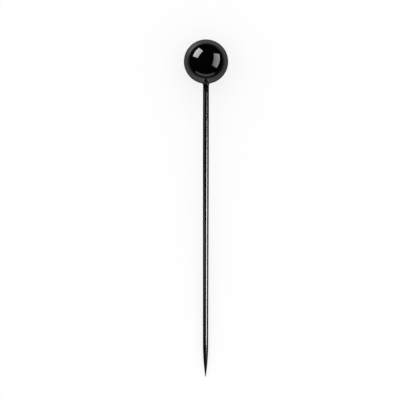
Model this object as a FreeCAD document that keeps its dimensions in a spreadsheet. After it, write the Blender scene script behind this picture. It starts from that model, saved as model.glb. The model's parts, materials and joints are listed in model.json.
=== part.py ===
import FreeCAD, Part
import math
import os

import Sketcher

# A straight pin with a ball head, lying on a table. It is two pieces: a hard steel wire shank, ground
# to a needle point, and a plastic ball moulded over the blunt end of the wire.
#
# Millimetres. The table is the plane z = 0, and the pin lies along Y with its head at the +Y end. The
# origin is under the middle of the pin's length. Each piece is drawn on the pin's own axis, from the
# plane where the shank leaves the head's neck, and is then laid down by its Placement.

SIZES = (
    ("overall_length", 38.0, "tip of the point to the top of the ball"),
    ("ball_diameter", 5.0, "the head"),
    ("neck_fillet", 0.18, "radius by which the ball runs down into its neck"),
    ("neck_wall", 0.03, "the head's lower rim, as wide as this round the shank"),
    ("crown_thickness", 1.8, "plastic between the wire's upper end and the top of the ball"),
    ("shank_diameter", 0.67, "the parallel stretch of wire under the head"),
    ("parallel_length", 7.5, "how far down from the head the wire stays parallel"),
    ("lower_diameter", 0.59, "the wire where its ground point starts"),
    ("point_length", 3.7, "the ground point with its tip"),
    ("tip_radius", 0.03, "rounding of the tip"),
    ("end_chamfer", 0.1, "the cropped upper end of the wire"),
    ("groove_count", 4, "grip grooves rolled round the wire inside the head"),
    ("groove_depth", 0.06, "how far a grip groove goes into the wire"),
    ("groove_overlap", 0.08, "how far a grip groove's mouth runs into the next one's"),
)

# Radii and heights that follow from the sheet. The neck's fillet is centred level with the rim and
# touches the ball from outside, so the two centres are both radii apart. The grip grooves share out
# the wire inside the head evenly, from its lower plane to the cropped end, and leave none of it plain.
BALL_RADIUS = "Sizes.ball_diameter / 2"
SHANK_RADIUS = "Sizes.shank_diameter / 2"
LOWER_RADIUS = "Sizes.lower_diameter / 2"
NECK_RADIUS = f"{SHANK_RADIUS} + Sizes.neck_wall"
BALL_CENTRE = (
    f"sqrt(({BALL_RADIUS} + Sizes.neck_fillet) ^ 2 - ({NECK_RADIUS} + Sizes.neck_fillet) ^ 2)"
)
HEAD_TOP = f"{BALL_CENTRE} + {BALL_RADIUS}"
SOCKET_DEPTH = f"{HEAD_TOP} - Sizes.crown_thickness"
TIP_DROP = f"Sizes.overall_length - ({HEAD_TOP})"
GROOVE_PITCH = (
    f"({SOCKET_DEPTH} - Sizes.end_chamfer - Sizes.groove_overlap) / Sizes.groove_count"
)
GROOVE_MOUTH = f"{GROOVE_PITCH} + Sizes.groove_overlap"

# How the pin comes to rest: it touches the table with its ball and with its ground point, so its axis
# leans. The wire's sketch finds that lean. Its two ends, both round, are then equally far along Y.
LEAN = "WireProfile.Constraints.lean"
TIP_CENTRE = f"Sizes.tip_radius - ({TIP_DROP})"
REST_ALONG = (
    f"-(({BALL_CENTRE} + {TIP_CENTRE}) * cos({LEAN}) + {BALL_RADIUS} - Sizes.tip_radius) / 2"
)
REST_HEIGHT = f"{BALL_RADIUS} - {BALL_CENTRE} * sin({LEAN})"
LYING = (
    f"placement(vector(0; {REST_ALONG}; {REST_HEIGHT}); rotation(vector(-1; 0; 0); 90 deg - {LEAN}))"
)

# How a sketch names its own axes and its origin, and an edge as a whole, its ends and its centre.
ACROSS, UP = -1, -2
ORIGIN = (-1, 1)
WHOLE, START, END, CENTRE = 0, 1, 2, 3


def make_sizes(doc):
    """The sheet of driving dimensions, a row each: its meaning, and its value under its alias."""
    sheet = doc.addObject("Spreadsheet::Sheet", "Sizes")
    for row, (alias, value, meaning) in enumerate(SIZES, start=1):
        sheet.set(f"A{row}", meaning)
        sheet.set(f"B{row}", str(value))
        sheet.setAlias(f"B{row}", alias)
    doc.recompute()


def at(x, z):
    return FreeCAD.Vector(x, z, 0)


def arc(centre, radius, from_angle, to_angle):
    """The arc that runs anticlockwise round its centre between two angles in radians."""
    circle = Part.Circle(centre, FreeCAD.Vector(0, 0, 1), radius)
    return Part.ArcOfCircle(circle, from_angle, to_angle)


def lines(corners):
    return [Part.LineSegment(*ends) for ends in zip(corners, corners[1:])]


class Profile:
    """A sketch on a body's YZ plane: x is the radius, and y the height along the pin's axis.

    Once the pin is laid down this is the upright plane through its axis, which meets the table.
    """

    def __init__(self, body, name):
        plane = next(face for face in body.Origin.OriginFeatures if face.Role == "YZ_Plane")
        self.body = body
        self.sketch = body.newObject("Sketcher::SketchObject", name)
        self.sketch.AttachmentSupport = (plane, [""])
        self.sketch.MapMode = "FlatFace"

    def value(self, expression):
        """What an expression on the sheet comes to, in millimetres."""
        return float(self.sketch.evalExpression(expression))

    def add(self, *edges, guide=False):
        """Draws edges. A guide is a construction line, which is no edge of the solid."""
        return [self.sketch.addGeometry(edge, guide) for edge in edges]

    def join(self, *ends):
        """Makes two ends of edges one point."""
        self.sketch.addConstraint(Sketcher.Constraint("Coincident", *ends))

    def fix(self, *constraint):
        return self.sketch.addConstraint(Sketcher.Constraint(*constraint))

    def measure(self, name, expression, *what):
        """A named dimension that takes its value from the sheet."""
        self.sketch.renameConstraint(self.fix(*what, self.value(expression)), name)
        self.sketch.setExpression(f"Constraints.{name}", expression)

    def find(self, name, *what):
        """A named dimension that the rest of the sketch settles."""
        found = self.fix(*what)
        self.sketch.setDriving(found, False)
        self.sketch.renameConstraint(found, name)

    def turn(self, feature_type, name):
        """The body's next feature: this profile turned once round the pin's axis."""
        feature = self.body.newObject(feature_type, name)
        feature.Profile = self.sketch
        feature.ReferenceAxis = (self.sketch, ["V_Axis"])
        feature.Angle = 360
        self.body.Tip = feature
        return feature


def make_head_blank(doc):
    """The ball and its neck, before the wire's socket: the ball runs down into a short fillet."""
    body = doc.addObject("PartDesign::Body", "HeadBlank")
    profile = Profile(body, "HeadProfile")

    ball_radius = profile.value(BALL_RADIUS)
    ball_centre = profile.value(BALL_CENTRE)
    neck_radius = profile.value(NECK_RADIUS)
    fillet = profile.value("Sizes.neck_fillet")
    touch = math.atan2(ball_centre, neck_radius + fillet)

    ball, neck, axis, rim = profile.add(
        arc(at(0, ball_centre), ball_radius, -touch, math.pi / 2),
        arc(at(neck_radius + fillet, 0), fillet, math.pi - touch, math.pi),
        *lines((at(0, ball_centre + ball_radius), at(0, 0), at(neck_radius, 0))),
    )
    profile.join(ball, END, axis, START)
    profile.join(axis, END, rim, START)
    profile.join(rim, END, neck, END)
    profile.join(rim, START, *ORIGIN)
    profile.fix("Tangent", neck, START, ball, START)
    profile.fix("Vertical", axis)
    profile.fix("Horizontal", rim)
    profile.fix("PointOnObject", ball, CENTRE, UP)
    profile.fix("PointOnObject", neck, CENTRE, ACROSS)
    profile.measure("ball_radius", BALL_RADIUS, "Radius", ball)
    profile.measure("neck_fillet", "Sizes.neck_fillet", "Radius", neck)
    profile.measure("neck_radius", NECK_RADIUS, "DistanceX", rim, START, rim, END)

    profile.turn("PartDesign::Revolution", "Ball")
    return body


def make_wire(body):
    """The wire: parallel under the head, then a slight taper, then a point ground as an ogive."""
    profile = Profile(body, "WireProfile")

    shank_radius = profile.value(SHANK_RADIUS)
    lower_radius = profile.value(LOWER_RADIUS)
    tip_radius = profile.value("Sizes.tip_radius")
    point_length = profile.value("Sizes.point_length")
    parallel_length = profile.value("Sizes.parallel_length")
    chamfer = profile.value("Sizes.end_chamfer")
    top = profile.value(SOCKET_DEPTH)
    tip = -profile.value(TIP_DROP)

    # The ogive as it would be if the wire above it had no taper, which the sketch then allows for.
    rise = point_length - tip_radius
    ogive_radius = (lower_radius**2 - tip_radius**2 + rise**2) / (2 * (lower_radius - tip_radius))
    ogive_centre = at(lower_radius - ogive_radius, tip + point_length)
    touch = math.atan2(-rise, ogive_radius - lower_radius)

    corners = (
        at(lower_radius, tip + point_length),
        at(shank_radius, -parallel_length),
        at(shank_radius, top - chamfer),
        at(shank_radius - chamfer, top),
        at(0, top),
        at(0, tip),
    )
    nose, ogive, taper, parallel, bevel, end, axis = profile.add(
        arc(at(0, tip + tip_radius), tip_radius, -math.pi / 2, touch),
        arc(ogive_centre, ogive_radius, touch, 0),
        *lines(corners),
    )
    profile.fix("Tangent", nose, END, ogive, START)
    profile.fix("Tangent", ogive, END, taper, START)
    for edge, next_edge in ((taper, parallel), (parallel, bevel), (bevel, end), (end, axis)):
        profile.join(edge, END, next_edge, START)
    profile.join(axis, END, nose, START)
    profile.fix("PointOnObject", nose, CENTRE, UP)
    profile.fix("PointOnObject", nose, START, UP)
    profile.fix("Vertical", axis)
    profile.fix("Vertical", parallel)
    profile.fix("Horizontal", end)
    profile.measure("tip_radius", "Sizes.tip_radius", "Radius", nose)
    profile.measure("tip_drop", TIP_DROP, "DistanceY", nose, START, *ORIGIN)
    profile.measure("point_length", "Sizes.point_length", "DistanceY", nose, START, taper, START)
    profile.measure("lower_radius", LOWER_RADIUS, "DistanceX", *ORIGIN, taper, START)
    profile.measure("shank_radius", SHANK_RADIUS, "DistanceX", *ORIGIN, parallel, START)
    profile.measure(
        "parallel_length", "Sizes.parallel_length", "DistanceY", parallel, START, *ORIGIN
    )
    profile.measure("socket_depth", SOCKET_DEPTH, "DistanceY", *ORIGIN, end, START)
    profile.measure("chamfer_in", "Sizes.end_chamfer", "DistanceX", bevel, END, bevel, START)
    profile.measure("chamfer_up", "Sizes.end_chamfer", "DistanceY", bevel, START, bevel, END)

    add_table(profile, ogive, at(lower_radius, tip + point_length / 2))
    return profile.turn("PartDesign::Revolution", "Wire")


def add_table(profile, ogive, near):
    """The table as the lying pin meets it: a guide line that touches the ogive and the ball."""
    ball_radius = profile.value(BALL_RADIUS)
    ball_centre = profile.value(BALL_CENTRE)

    ball, table = profile.add(
        Part.Circle(at(0, ball_centre), FreeCAD.Vector(0, 0, 1), ball_radius),
        Part.LineSegment(near, at(ball_radius, ball_centre)),
        guide=True,
    )
    profile.fix("PointOnObject", ball, CENTRE, UP)
    profile.measure("ball_radius", BALL_RADIUS, "Radius", ball)
    profile.measure("ball_centre", BALL_CENTRE, "DistanceY", *ORIGIN, ball, CENTRE)
    profile.fix("Tangent", table, START, ogive)
    profile.fix("Tangent", table, END, ball)
    lean_start = math.atan2(ball_radius, ball_centre - near.y)
    profile.find("lean", "Angle", table, WHOLE, UP, WHOLE, lean_start)


def make_grip_grooves(doc, body):
    """Shallow V grooves that key the wire into the head. The first opens at the head's rim."""
    profile = Profile(body, "GrooveProfile")

    surface = profile.value(SHANK_RADIUS)
    root = surface - profile.value("Sizes.groove_depth")
    mouth = profile.value(GROOVE_MOUTH)

    opening, upper, lower = profile.add(
        *lines((at(surface, 0), at(surface, mouth), at(root, mouth / 2), at(surface, 0)))
    )
    for edge, next_edge in ((opening, upper), (upper, lower), (lower, opening)):
        profile.join(edge, END, next_edge, START)
    profile.fix("Vertical", opening)
    profile.fix("Equal", upper, lower)
    profile.fix("PointOnObject", opening, START, ACROSS)
    profile.measure("shank_radius", SHANK_RADIUS, "DistanceX", *ORIGIN, opening, START)
    profile.measure("groove_depth", "Sizes.groove_depth", "DistanceX", upper, END, upper, START)
    profile.measure("groove_mouth", GROOVE_MOUTH, "DistanceY", opening, START, opening, END)

    groove = profile.turn("PartDesign::Groove", "GripGroove")
    doc.recompute()

    row = body.newObject("PartDesign::LinearPattern", "GripGrooves")
    row.Originals = [groove]
    row.Direction = (profile.sketch, ["V_Axis"])
    row.setExpression("Occurrences", "Sizes.groove_count")
    row.setExpression("Length", f"{GROOVE_PITCH} * (Sizes.groove_count - 1)")
    body.Tip = row
    doc.recompute()
    return row


def make_shank(doc):
    """The whole wire, with the grooves cut round the end that the head is moulded over."""
    body = doc.addObject("PartDesign::Body", "Shank")
    body.Label = "shank"
    wire = make_wire(body)
    doc.recompute()
    grooves = make_grip_grooves(doc, body)
    if grooves.Shape.Volume >= wire.Shape.Volume:
        raise RuntimeError("the grip grooves cut nothing from the wire")
    return body


def make_ball_head(doc, blank, shank):
    """The head as moulded: its socket is the wire's own end, with its grooves and chamfer."""
    head = doc.addObject("Part::Cut", "BallHead")
    head.Label = "ball_head"
    head.Base = blank
    head.Tool = shank
    doc.recompute()
    return head


def lay_down(doc, bodies):
    for body in bodies:
        body.setExpression("Placement", LYING)
    doc.recompute()


def check(doc, pieces):
    for thing in doc.Objects:
        if "Invalid" in thing.State or "Error" in thing.State:
            raise RuntimeError(f"{thing.Label} failed: {thing.State}")
    for piece in pieces:
        if piece.Shape.isNull() or not piece.Shape.isValid():
            raise RuntimeError(f"{piece.Label} is not a sound shape")
        if len(piece.Shape.Solids) != 1:
            raise RuntimeError(f"{piece.Label} is {len(piece.Shape.Solids)} solids, not one")


doc = FreeCAD.newDocument("StraightPin")
make_sizes(doc)
blank = make_head_blank(doc)
shank = make_shank(doc)
lay_down(doc, (blank, shank))
ball_head = make_ball_head(doc, blank, shank)

pieces = (shank, ball_head)
check(doc, pieces)
os.makedirs("parts", exist_ok=True)
for piece in pieces:
    piece.Shape.exportStep(f"parts/{piece.Label}.step")
    box = piece.Shape.optimalBoundingBox(False)
    print(f"{piece.Label}: {piece.Shape.Volume:.4f} mm3")
    print(f"  y {box.YMin:.4f} to {box.YMax:.4f}, z {box.ZMin:.4f} to {box.ZMax:.4f}")

neck = shank.Placement.Base
down_the_shank = shank.Placement.Rotation.multVec(FreeCAD.Vector(0, 0, -1))
print(f"the shank leaves the head at {tuple(round(c, 6) for c in neck)}")
print(f"and points along {tuple(round(c, 8) for c in down_the_shank)}")
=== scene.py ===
import json
import math

import bpy
import numpy as np
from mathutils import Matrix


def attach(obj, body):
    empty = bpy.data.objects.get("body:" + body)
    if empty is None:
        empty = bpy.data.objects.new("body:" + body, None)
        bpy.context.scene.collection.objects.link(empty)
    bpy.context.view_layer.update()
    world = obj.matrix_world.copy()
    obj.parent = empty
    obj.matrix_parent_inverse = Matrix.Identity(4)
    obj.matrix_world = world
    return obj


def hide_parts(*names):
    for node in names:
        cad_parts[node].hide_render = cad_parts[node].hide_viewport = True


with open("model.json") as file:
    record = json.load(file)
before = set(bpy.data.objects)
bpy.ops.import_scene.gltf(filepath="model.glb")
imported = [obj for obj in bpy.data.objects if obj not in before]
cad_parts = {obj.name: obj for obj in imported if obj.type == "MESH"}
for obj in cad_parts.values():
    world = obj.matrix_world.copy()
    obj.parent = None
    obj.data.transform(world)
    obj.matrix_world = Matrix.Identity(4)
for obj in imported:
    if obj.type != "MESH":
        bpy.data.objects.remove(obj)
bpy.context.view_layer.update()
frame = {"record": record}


# How the pin lies
# A ball-headed pin comes to rest on its ball and its ground point, so its axis leans a little from the
# table. Everything here is measured from the neck, the plane where the shank leaves the head, and along
# the pin's own axis. What faces up from the table, square to the axis, is also what faces the camera.
MM = 0.001
grip = frame["record"]["mounts"][0]
NECK = np.array(grip["pos_m"])
TO_HEAD = -np.array(grip["axis"])
ACROSS = np.array((1.0, 0.0, 0.0))
FACING = np.cross(ACROSS, TO_HEAD)
LEAN = math.atan2(TO_HEAD[2], TO_HEAD[1])


# Shank
# Hard steel wire, drawn parallel under the head and very slightly tapered below, with its end rolled
# against a grinding belt to a long round point. Black plating, bright along the draw lines. The wire
# runs on into the head, where shallow V grooves key it to the plastic. Lengths are in millimetres.
SHANK_RADIUS = grip["dims"]["r_mm"]
PARALLEL_LENGTH = grip["dims"]["length_mm"]
LOWER_RADIUS = 0.295
POINT_LENGTH = 3.7
TIP_RADIUS = 0.03
OVERALL_LENGTH = 38.0
BALL_RADIUS = 2.5
CROWN = 1.8
NECK_WALL = 0.03
NECK_RADIUS = SHANK_RADIUS + NECK_WALL
NECK_FILLET = 0.18
BALL_HEIGHT = math.sqrt((BALL_RADIUS + NECK_FILLET) ** 2 - (NECK_RADIUS + NECK_FILLET) ** 2)
HEAD_TOP = BALL_HEIGHT + BALL_RADIUS
TIP_HEIGHT = HEAD_TOP - OVERALL_LENGTH
SHOULDER_HEIGHT = TIP_HEIGHT + POINT_LENGTH
SOCKET_DEPTH = HEAD_TOP - CROWN
END_CHAMFER = 0.1
GROOVES = 4
GROOVE_DEPTH = 0.06
GROOVE_OVERLAP = 0.08

TIP_STEPS = 8
OGIVE_STEPS = 40
TAPER_STEPS = 24
PARALLEL_STEPS = 10
WIRE_SIDES = 96
SHARP_EDGE = math.radians(35)

STREAKS_PER_MM = (16, 16, 0.35)
CLOUDS_PER_MM = (0.8, 0.8, 0.25)
BELT_MARKS_PER_MM = (3, 3, 45)
GRINDING_FADE = 0.4
PLATING_DEEP = (0.100, 0.101, 0.106, 1)
PLATING_THIN = (0.135, 0.135, 0.139, 1)
DRAWN_ROUGHNESS = 0.09
GRAIN_ROUGHNESS = 0.06
GROUND_ROUGHNESS = 0.06
GRAIN_DEPTH = 0.004
GRAIN_STRENGTH = 0.12


def bow(centre, radius, start, stop, steps):
    """Points of an arc: centre plus radius times (cos a, sin a), with a even from start to stop."""
    angle = np.linspace(start, stop, steps)
    return np.array(centre) + radius * np.column_stack((np.cos(angle), np.sin(angle)))


def angle_of(vector):
    """The angle from the first axis to a vector of two numbers."""
    return math.atan2(vector[1], vector[0])


def shank_below_head():
    """Radius and height from the tip's pole up to the neck.

    The ogive is an arc that runs on from the taper without a corner. It holds the tip's own round
    inside it: its centre is one ogive radius in from the taper's lower end, along the taper's normal,
    and one ogive radius less the tip's from the tip's centre.
    """
    tip_centre = np.array((0.0, TIP_HEIGHT + TIP_RADIUS))
    shoulder = np.array((LOWER_RADIUS, SHOULDER_HEIGHT))
    rise = np.array((SHANK_RADIUS, -PARALLEL_LENGTH)) - shoulder
    outward = np.array((rise[1], -rise[0])) / np.hypot(*rise)
    reach = shoulder - tip_centre
    ogive_radius = (reach @ reach - TIP_RADIUS**2) / (2 * (reach @ outward - TIP_RADIUS))
    ogive_centre = shoulder - ogive_radius * outward
    touch = angle_of(tip_centre - ogive_centre)
    parallel = np.linspace(-PARALLEL_LENGTH, 0, PARALLEL_STEPS)[1:]
    return np.concatenate((
        bow(tip_centre, TIP_RADIUS, -math.pi / 2, touch, TIP_STEPS)[:-1],
        bow(ogive_centre, ogive_radius, touch, angle_of(outward), OGIVE_STEPS),
        shoulder + np.linspace(0, 1, TAPER_STEPS)[1:, None] * rise,
        np.column_stack((np.full_like(parallel, SHANK_RADIUS), parallel)),
    ))


def gripped_end():
    """Radius and height from the neck, past the grooves and the chamfer, to the wire's cropped end.

    The grooves are V shaped and evenly pitched. Each mouth reaches past the next one's start by the
    overlap, so neighbours cut each other's edges down to a crest. The last keeps its edge on the wire.
    """
    pitch = (SOCKET_DEPTH - END_CHAMFER - GROOVE_OVERLAP) / GROOVES
    mouth = pitch + GROOVE_OVERLAP
    start = pitch * np.arange(GROOVES)
    crest = SHANK_RADIUS - GROOVE_DEPTH * GROOVE_OVERLAP / mouth
    roots = np.column_stack((np.full(GROOVES, SHANK_RADIUS - GROOVE_DEPTH), start + mouth / 2))
    crests = np.column_stack((np.full(GROOVES, crest), start + pitch + GROOVE_OVERLAP / 2))
    crests[-1] = SHANK_RADIUS, SOCKET_DEPTH - END_CHAMFER
    zigzag = np.stack((roots, crests), axis=1).reshape(-1, 2)
    return np.concatenate((zigzag, [(SHANK_RADIUS - END_CHAMFER, SOCKET_DEPTH), (0, SOCKET_DEPTH)]))


def turned(name, outline, sides):
    """A closed solid turned round the pin's axis, from an outline whose two ends lie on that axis.

    Point (i, j) is neck + height i along the axis + radius i times (cos a across + sin a facing), with
    the angle a going once round as j does. Each end of the outline is one point, a pole.
    """
    radius, height = outline.T * MM
    angle = np.linspace(0, 2 * math.pi, sides, endpoint=False)[:, None]
    spokes = np.cos(angle) * ACROSS + np.sin(angle) * FACING
    rings = radius[1:-1, None, None] * spokes + height[1:-1, None, None] * TO_HEAD
    poles = height[[0, -1], None] * TO_HEAD
    points = NECK + np.concatenate((rings.reshape(-1, 3), poles))

    here = np.arange(rings.shape[0] * sides).reshape(-1, sides)
    beside = np.roll(here, -1, axis=1)
    bands = np.stack((here[:-1], here[1:], beside[1:], beside[:-1]), axis=-1).reshape(-1, 4)
    first, last = (np.full(sides, here.size + end) for end in (0, 1))
    caps = np.concatenate((
        np.column_stack((first, here[0], beside[0])),
        np.column_stack((here[-1], last, beside[-1])),
    ))
    mesh = bpy.data.meshes.new(name)
    mesh.from_pydata(points, [], bands.tolist() + caps.tolist())
    mesh.shade_smooth()
    mesh.set_sharp_from_angle(angle=SHARP_EDGE)
    piece = bpy.data.objects.new(name, mesh)
    bpy.context.scene.collection.objects.link(piece)
    return piece


class Number:
    """What a shader's node puts out.

    A sum, difference, product or quotient of it adds the Math node that works it out.
    """

    def __init__(self, shader, socket):
        self.shader = shader
        self.socket = socket

    def __add__(self, other):
        return self.shader.maths("ADD", self, other)

    def __sub__(self, other):
        return self.shader.maths("SUBTRACT", self, other)

    def __rsub__(self, other):
        return self.shader.maths("SUBTRACT", other, self)

    def __mul__(self, other):
        return self.shader.maths("MULTIPLY", self, other)

    def __truediv__(self, other):
        return self.shader.maths("DIVIDE", self, other)

    __radd__ = __add__
    __rmul__ = __mul__


class Shader:
    """The nodes of a material, a lamp or the world."""

    def __init__(self, owner):
        owner.use_nodes = True
        self.tree = owner.node_tree
        self.tree.nodes.clear()

    def node(self, kind, settings, inputs, output=0):
        """Adds a node and returns one of its outputs.

        The node gets its settings first, and then a value or a link for each socket named.
        """
        node = self.tree.nodes.new("ShaderNode" + kind)
        for name, value in settings.items():
            if name == "stops":
                self.set_stops(node.color_ramp.elements, value)
            else:
                setattr(node, name, value)
        for name, value in inputs.items():
            if isinstance(value, Number):
                self.tree.links.new(value.socket, node.inputs[name])
            else:
                node.inputs[name].default_value = value
        return Number(self, node.outputs[output]) if node.outputs else None

    def set_stops(self, elements, stops):
        """Gives a ramp its stops, each a place from 0 to 1 and the grey there."""
        while len(elements) < len(stops):
            elements.new(0.5)
        for element, (place, grey) in zip(elements, stops):
            element.position = place
            element.color = (grey, grey, grey, 1)

    def maths(self, operation, *numbers):
        """A Math node on one or two numbers."""
        return self.node("Math", {"operation": operation}, dict(enumerate(numbers)))

    def part(self, vector, axis):
        """The X, Y or Z of a vector."""
        return self.node("SeparateXYZ", {}, {"Vector": vector}, axis)

    def smooth_step(self, value, nothing, full):
        """0 where the value is at or past nothing, 1 at or past full, and eased in between."""
        inputs = {"Value": value, "From Min": nothing, "From Max": full}
        return self.node("MapRange", {"interpolation_type": "SMOOTHSTEP"}, inputs)

    def on_pin(self, stretch=(1, 1, 1)):
        """Where a point is in the pin's own axes: x across, z up the pin, in millimetres times stretch."""
        place = self.node("TexCoord", {}, {}, "Object")
        turn = (LEAN - math.pi / 2, 0, 0)
        inputs = {"Vector": place, "Location": NECK, "Rotation": turn, "Scale": (MM, MM, MM)}
        upright = self.node("Mapping", {"vector_type": "TEXTURE"}, inputs)
        return self.node("VectorMath", {"operation": "MULTIPLY"}, {0: upright, 1: stretch})

    def noise(self, per_mm, detail=2.0):
        """Soft noise from 0 to 1 on the pin, with about so many blotches per millimetre each way."""
        place = self.on_pin(per_mm)
        return self.node("TexNoise", {}, {"Vector": place, "Scale": 1.0, "Detail": detail})

    def blend(self, factor, colour, other):
        """A colour that goes over to another as the factor goes from 0 to 1."""
        inputs = {"Factor": factor, "A": colour, "B": other}
        return self.node("Mix", {"data_type": "RGBA"}, inputs, 2)

    def relief(self, height, depth, strength):
        """The normal of a surface with so deep a relief, in millimetres."""
        return self.node("Bump", {}, {"Strength": strength, "Distance": depth * MM, "Height": height})

    def surface(self, shader):
        """Makes this the look of the material's surface."""
        self.node("OutputMaterial", {}, {"Surface": shader})


def black_plating():
    """Black nickel on drawn wire: streaks along the wire in its gloss, a fine grain where it is ground."""
    material = bpy.data.materials.new("black_plated_steel")
    shader = Shader(material)
    height = shader.part(shader.on_pin(), "Z")
    ground = shader.smooth_step(height, SHOULDER_HEIGHT + GRINDING_FADE, SHOULDER_HEIGHT - GRINDING_FADE)
    streaks = shader.noise(STREAKS_PER_MM, 4.0)
    belt_marks = shader.noise(BELT_MARKS_PER_MM, 3.0)
    grain = streaks + ground * (belt_marks - streaks)
    shader.surface(shader.node("BsdfPrincipled", {}, {
        "Base Color": shader.blend(shader.noise(CLOUDS_PER_MM), PLATING_DEEP, PLATING_THIN),
        "Metallic": 1.0,
        "Roughness": DRAWN_ROUGHNESS + GRAIN_ROUGHNESS * grain + GROUND_ROUGHNESS * ground,
        "Normal": shader.relief(grain, GRAIN_DEPTH, GRAIN_STRENGTH),
    }))
    return material


shank = turned("drawn_shank", np.concatenate((shank_below_head(), gripped_end())), WIRE_SIDES)
shank.data.materials.append(black_plating())
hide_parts("shank")
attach(shank, "root")


# Ball head
# Black plastic, moulded as a ball over the wire's grooved end. It runs down into a short neck that
# closes on the wire. Straight from a polished mould, it has a mirror gloss with the faintest ripple.
BALL_CENTRE = NECK + MM * BALL_HEIGHT * TO_HEAD
FILLET_STEPS = 16
BALL_STEPS = 120
BALL_SIDES = 192

RIPPLES_PER_MM = (1.1, 1.1, 1.1)
HAZE_PER_MM = (2.6, 2.6, 2.6)
BLACK_DEEP = (0.0008, 0.0008, 0.0009, 1)
BLACK_HAZY = (0.0014, 0.0014, 0.0016, 1)
MOULDED_ROUGHNESS = 0.025
HAZE_ROUGHNESS = 0.03
PLASTIC_IOR = 1.59
RIPPLE_DEPTH = 0.006
RIPPLE_STRENGTH = 0.10


def head_outline():
    """Radius and height from the socket's blind end, down its wall, round the rim and up the ball.

    The neck is an arc about a point on the neck's plane, one fillet outside its radius. It meets the
    ball where the line from that point to the ball's centre crosses both.
    """
    socket = gripped_end()[::-1]
    fillet_centre = (NECK_RADIUS + NECK_FILLET, 0)
    touch = math.atan2(BALL_HEIGHT, NECK_RADIUS + NECK_FILLET)
    return np.concatenate((
        socket,
        [(SHANK_RADIUS, 0)],
        bow(fillet_centre, NECK_FILLET, math.pi, math.pi - touch, FILLET_STEPS),
        bow((0, BALL_HEIGHT), BALL_RADIUS, -touch, math.pi / 2, BALL_STEPS)[1:],
    ))


def gloss_black():
    """Black plastic with a polished skin: hardly any colour of its own, and a faint ripple."""
    material = bpy.data.materials.new("black_moulded_plastic")
    shader = Shader(material)
    ripple = shader.noise(RIPPLES_PER_MM, 1.0)
    haze = shader.noise(HAZE_PER_MM, 3.0)
    shader.surface(shader.node("BsdfPrincipled", {}, {
        "Base Color": shader.blend(haze, BLACK_DEEP, BLACK_HAZY),
        "Roughness": MOULDED_ROUGHNESS + HAZE_ROUGHNESS * haze,
        "IOR": PLASTIC_IOR,
        "Normal": shader.relief(ripple, RIPPLE_DEPTH, RIPPLE_STRENGTH),
    }))
    return material


head = turned("moulded_ball", head_outline(), BALL_SIDES)
head.data.materials.append(gloss_black())
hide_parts("ball_head")
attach(head, "root")


# Table
# A plain white table top. The camera sees it white, with the pin's own soft shadow. The ball mirrors
# three pools of light painted on it as glow, in millimetres from the ball's foot: a wide one, one for
# the left softbox and one in front, under a painted shade round the ball's foot. Each is full within
# the nearer of its reaches and gone past the further.
TABLE_SIZE = 1.2
TABLE_SHADED_PART = 0.28
# Painted light: pools of glow on the table that only mirrors see.
PAINTED_LIGHT_POOLS = {
    "wide": {"light": 0.50, "middle": (-1.2, 5.2), "reach": (2.7, 29.3)},
    "left": {"light": 0.60, "middle": (-8.0, 8.5), "reach": (2.8, 6.6)},
    "front": {"light": 0.48, "middle": (-1.0, -12.9), "reach": (0.8, 15.2)},
}
LIGHT_BEYOND = 0.02
# Painted shade round the ball's foot, which darkens the mirrored glow.
BALL_SHADE_FROM = 3.3
BALL_SHADE_FADE = 2.5
WHITE = (1.0, 1.0, 1.0, 1)


def gathered(name, *members):
    """A collection for light linking: what one lamp or patch of light reaches."""
    group = bpy.data.collections.new(name)
    for member in members:
        group.objects.link(member)
    return group


def table_top():
    """White for the camera and for soft light.

    In a mirror it shows only painted light: a dim glow with painted pools of light that fade outwards by a
    smooth step. All of it is multiplied by a painted shade of the ball,
    1 - exp((start - distance) / fade), which is nothing at its start.
    """
    material = bpy.data.materials.new("white_table")
    shader = Shader(material)
    seen = shader.node("LightPath", {}, {}, "Is Camera Ray")
    mirrored = shader.node("LightPath", {}, {}, "Is Glossy Ray")
    place = shader.node("TexCoord", {}, {}, "Object")
    place = shader.node("VectorMath", {"operation": "SCALE"}, {0: place, "Scale": 1 / MM})

    def distance(middle):
        """How far a point of the table is from a middle, both measured from the ball's foot."""
        centre = (middle[0], middle[1] + BALL_CENTRE[1] / MM, 0)
        return shader.node("VectorMath", {"operation": "DISTANCE"}, {0: place, 1: centre}, 1)

    # The painted shade of the ball round its foot.
    unshaded = 1 - shader.maths("EXPONENT", (BALL_SHADE_FROM - distance((0, 0))) / BALL_SHADE_FADE)
    unshaded = shader.maths("MAXIMUM", unshaded, 0)
    # The painted pools of light, over a dim painted glow.
    light = LIGHT_BEYOND
    for pool in PAINTED_LIGHT_POOLS.values():
        full, gone = pool["reach"]
        light = light + pool["light"] * shader.smooth_step(distance(pool["middle"]), gone, full)
    glow = shader.node("Emission", {}, {"Color": WHITE, "Strength": (1 - TABLE_SHADED_PART) * seen})
    paint = shader.node("BsdfDiffuse", {}, {"Color": (*[TABLE_SHADED_PART] * 3, 1)})
    plain = shader.node("AddShader", {}, {0: glow, 1: paint})
    # The painted glow, seen only in mirrors.
    lit = shader.node("Emission", {}, {"Color": WHITE, "Strength": light * unshaded})
    shader.surface(shader.node("MixShader", {}, {0: mirrored, 1: plain, 2: lit}))
    material.cycles.emission_sampling = "NONE"
    return material


half = TABLE_SIZE / 2
corners = [(-half, -half, 0), (half, -half, 0), (half, half, 0), (-half, half, 0)]
table_mesh = bpy.data.meshes.new("table")
table_mesh.from_pydata(corners, [], [(0, 1, 2, 3)])
table = bpy.data.objects.new("table", table_mesh)
bpy.context.scene.collection.objects.link(table)
table_mesh.materials.append(table_top())
table.light_linking.receiver_collection = gathered("lit_by_table", head)


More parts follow.
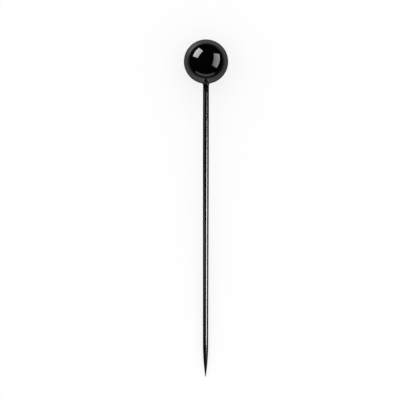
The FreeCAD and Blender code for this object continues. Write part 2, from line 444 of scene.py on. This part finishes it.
# Lamps
# For the ball a softbox on either side, and a low card past the point. For the shank a strip on either
# side, which it mirrors as a bright line and a faint one, and panels past its ends for views from the
# side. Lengths are in millimetres, angles in degrees, and light is radiance, white being 1.
LAMP_DISTANCE = 500.0
LEFT_FALL = 0.22
RIGHT_RISE_ACROSS = 0.60
RIGHT_RISE_UP = 0.34
CARD_DISTANCE = 70.0
CARD_OFF_AXIS = -10.0
CARD_WIDTH = 138.0
CARD_HEIGHT = 18.5
CARD_BOTTOM = 4.0
CARD_LIGHT = 0.8
CARD_STOPS = ((0.0, 0.0), (0.14, 1.0), (0.84, 1.0), (1.0, 0.0))
STRIP_ELEVATION = -4.3
STRIP_LENGTH = 130
BRIGHT_LINE = (
    (0.15, 0.02), (0.29, 0.12), (0.37, 0.5), (0.42, 1.0), (0.50, 0.92),
    (0.60, 0.84), (0.66, 0.78), (0.765, 0.83), (0.785, 0.0),
)
FAINT_LINE = (
    (0.43, 0.0), (0.51, 0.5), (0.55, 1.0), (0.60, 0.64),
    (0.67, 0.2), (0.75, 0.0), (0.79, 0.05), (0.845, 0.6),
)
PANELS = {
    "head_end_panel": {"elevation": 50.0, "height": 420},
    "point_end_panel": {"elevation": -37.0, "height": 180},
}
PANEL_AZIMUTHS = (-53.0, 38.5)
PANEL_WIDTH = 200
PANEL_LIGHT = 3.0


def facing_ball(azimuth, elevation, roll):
    """A lamp's own axes: its width's, its height's, and the way out from the ball to it.

    The azimuth turns round the pin from the camera to the right, the elevation towards the head, and
    the roll about the way out.
    """
    around, up, spin = (math.radians(a) for a in (azimuth, elevation, roll))
    side = math.cos(around) * ACROSS - math.sin(around) * FACING
    level = math.sin(around) * ACROSS + math.cos(around) * FACING
    outward = math.cos(up) * level + math.sin(up) * TO_HEAD
    upward = math.cos(up) * TO_HEAD - math.sin(up) * level
    return (
        math.cos(spin) * side + math.sin(spin) * upward,
        math.cos(spin) * upward - math.sin(spin) * side,
        outward,
    )


def placed(thing, axes, middle):
    """Puts a lamp or the camera into the scene, turned to these axes, with its middle there in metres."""
    place = np.eye(4)
    place[:3] = np.column_stack((*axes, middle))
    thing.matrix_world = place.T.tolist()
    bpy.context.scene.collection.objects.link(thing)


def lamp(name, middle, axes, width, height, light, reaches):
    """A flat lamp, hidden from the camera, with its middle in metres. Power is light times pi times area."""
    data = bpy.data.lights.new(name, "AREA")
    data.shape = "RECTANGLE"
    data.size, data.size_y = width * MM, height * MM
    data.energy = light * math.pi * data.size * data.size_y
    thing = bpy.data.objects.new(name, data)
    thing.visible_camera = False
    thing.visible_diffuse = False
    thing.light_linking.receiver_collection = reaches
    placed(thing, axes, middle)
    return data


def softbox(name, azimuth, elevation, width, height, light, reaches, roll=0.0):
    """A lamp that faces the ball from the lamps' distance."""
    axes = facing_ball(azimuth, elevation, roll)
    middle = BALL_CENTRE + MM * LAMP_DISTANCE * axes[2]
    return lamp(name, middle, axes, width, height, light, reaches)


def along_face(shader, axis):
    """How far across, X, or up, Y, the lamp's face a point is, from 0 to 1."""
    return shader.part(shader.node("NewGeometry", {}, {}, "Parametric"), axis)


def shine(shader, strength):
    """Gives a lamp its light: its power times this strength."""
    glow = shader.node("Emission", {}, {"Strength": strength})
    shader.node("OutputLight", {}, {"Surface": glow})


on_head = gathered("lit_on_head", head)
on_shank = gathered("lit_on_shank", shank)

left = Shader(softbox(
    "left_softbox", azimuth=-56.0, elevation=40.0, roll=-11.2,
    width=294, height=386, light=8.5, reaches=on_head,
))
shine(left, 1 + LEFT_FALL / 2 - LEFT_FALL * along_face(left, "X"))

right = Shader(softbox(
    "right_softbox", azimuth=57.3, elevation=4.8, roll=-16.5,
    width=316, height=608, light=3.67, reaches=on_head,
))
right_light = 1 - (RIGHT_RISE_ACROSS + RIGHT_RISE_UP) / 2
right_light = right_light + RIGHT_RISE_ACROSS * along_face(right, "X")
right_light = right_light + RIGHT_RISE_UP * along_face(right, "Y")
shine(right, right_light)

card = Shader(lamp(
    "far_card",
    middle=(CARD_OFF_AXIS * MM, BALL_CENTRE[1] - CARD_DISTANCE * MM, (CARD_BOTTOM + CARD_HEIGHT / 2) * MM),
    axes=np.array(((1, 0, 0), (0, 0, 1), (0, -1, 0))),
    width=CARD_WIDTH, height=CARD_HEIGHT, light=CARD_LIGHT, reaches=on_head,
))
shine(card, card.node("ValToRGB", {"stops": CARD_STOPS}, {"Fac": along_face(card, "X")}))

main = Shader(softbox(
    "main_strip", azimuth=38.0, elevation=STRIP_ELEVATION,
    width=260, height=STRIP_LENGTH, light=11.5, reaches=on_shank,
))
shine(main, main.node("ValToRGB", {"stops": BRIGHT_LINE}, {"Fac": along_face(main, "Y")}))

faint = Shader(softbox(
    "left_strip", azimuth=-53.0, elevation=STRIP_ELEVATION,
    width=190, height=STRIP_LENGTH, light=1.5, reaches=on_shank,
))
shine(faint, faint.node("ValToRGB", {"stops": FAINT_LINE}, {"Fac": along_face(faint, "Y")}))

for name, place in PANELS.items():
    for azimuth in PANEL_AZIMUTHS:
        softbox(name, azimuth, width=PANEL_WIDTH, light=PANEL_LIGHT, reaches=on_shank, **place)


# World
# A white room, plain white to the camera and as soft light. What the ball and the shank mirror of it is
# dark, as in a studio with its lights turned down, so that only the lamps and the table show in them.
world = bpy.data.worlds.new("studio")
bpy.context.scene.world = world
studio = Shader(world)
glossy = studio.node("LightPath", {}, {}, "Is Glossy Ray")
sky = studio.node("Background", {}, {"Color": WHITE, "Strength": 1 - glossy})
studio.node("OutputWorld", {}, {"Surface": sky})


# Camera
# It looks straight at the pin, square to its axis, from above the table. The ball's middle and the tip
# are where they are in the photograph, a picture 400 pixels wide and high. Its distance is in metres.
PICTURE = 400
BALL_AT = np.array((206.02, 61.57))
TIP_AT = np.array((205.52, 376.5))
CAMERA_DISTANCE = 0.4

pin_in_picture = TIP_AT - BALL_AT
per_pixel = MM * (OVERALL_LENGTH - BALL_RADIUS) / np.hypot(*pin_in_picture)
tilt = math.atan2(-pin_in_picture[0], pin_in_picture[1])
rightward = math.cos(tilt) * ACROSS + math.sin(tilt) * TO_HEAD
upward = math.cos(tilt) * TO_HEAD - math.sin(tilt) * ACROSS
from_ball = per_pixel * (PICTURE / 2 - BALL_AT)
aim = BALL_CENTRE + from_ball[0] * rightward - from_ball[1] * upward

camera_data = bpy.data.cameras.new("camera")
camera_data.sensor_width = 36.0
camera_data.lens = camera_data.sensor_width * CAMERA_DISTANCE / (per_pixel * PICTURE)
camera_data.clip_start = 0.01
camera = bpy.data.objects.new("camera", camera_data)
placed(camera, (rightward, upward, FACING), aim + CAMERA_DISTANCE * FACING)
bpy.context.scene.camera = camera
bpy.context.scene.view_settings.view_transform = "Standard"
